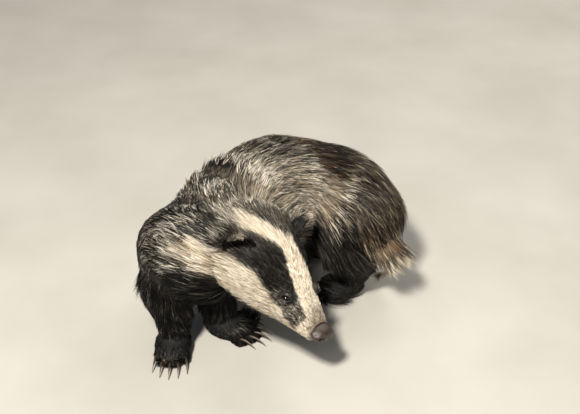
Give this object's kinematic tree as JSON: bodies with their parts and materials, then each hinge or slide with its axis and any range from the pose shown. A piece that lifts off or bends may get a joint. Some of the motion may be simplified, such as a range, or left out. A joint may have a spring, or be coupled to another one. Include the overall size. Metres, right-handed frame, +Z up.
{
  "type": "european badger model",
  "caption": "Still life-size European badger walking in a tight curl, head low and turned back, coat in overlapping locks.",
  "frame": {"origin": "on the floor, below the middle of the box round the animal", "axes": "+Z up, -Y towards the side that the chest and the nose face, +X towards the rump and tail"},
  "size_m": [0.3385, 0.3153, 0.2146],
  "materials": {
    "face_fur": "short cream fur with black stripes",
    "nose_skin": "moist pebbled skin",
    "black_fur": "glossy black fur",
    "eye": "wet gloss",
    "grey_fur": "grizzled bristly fur",
    "buff_fur": "pale buff fur"
  },
  "bodies": {
    "root": {"head": "face_fur", "nose": "nose_skin", "ear_left": "black_fur", "ear_right": "black_fur", "eye_left": "eye", "eye_right": "eye", "neck": "grey_fur", "torso_front": "grey_fur", "torso_middle": "grey_fur", "torso_rear": "grey_fur", "tail": "buff_fur", "foreleg_right": "black_fur", "foreleg_left": "black_fur", "forepaw_right": "black_fur", "forepaw_left": "black_fur", "hindleg_right": "black_fur", "hindleg_left": "black_fur", "hindpaw_right": "black_fur", "hindpaw_left": "black_fur"}
  },
  "joints": []
}
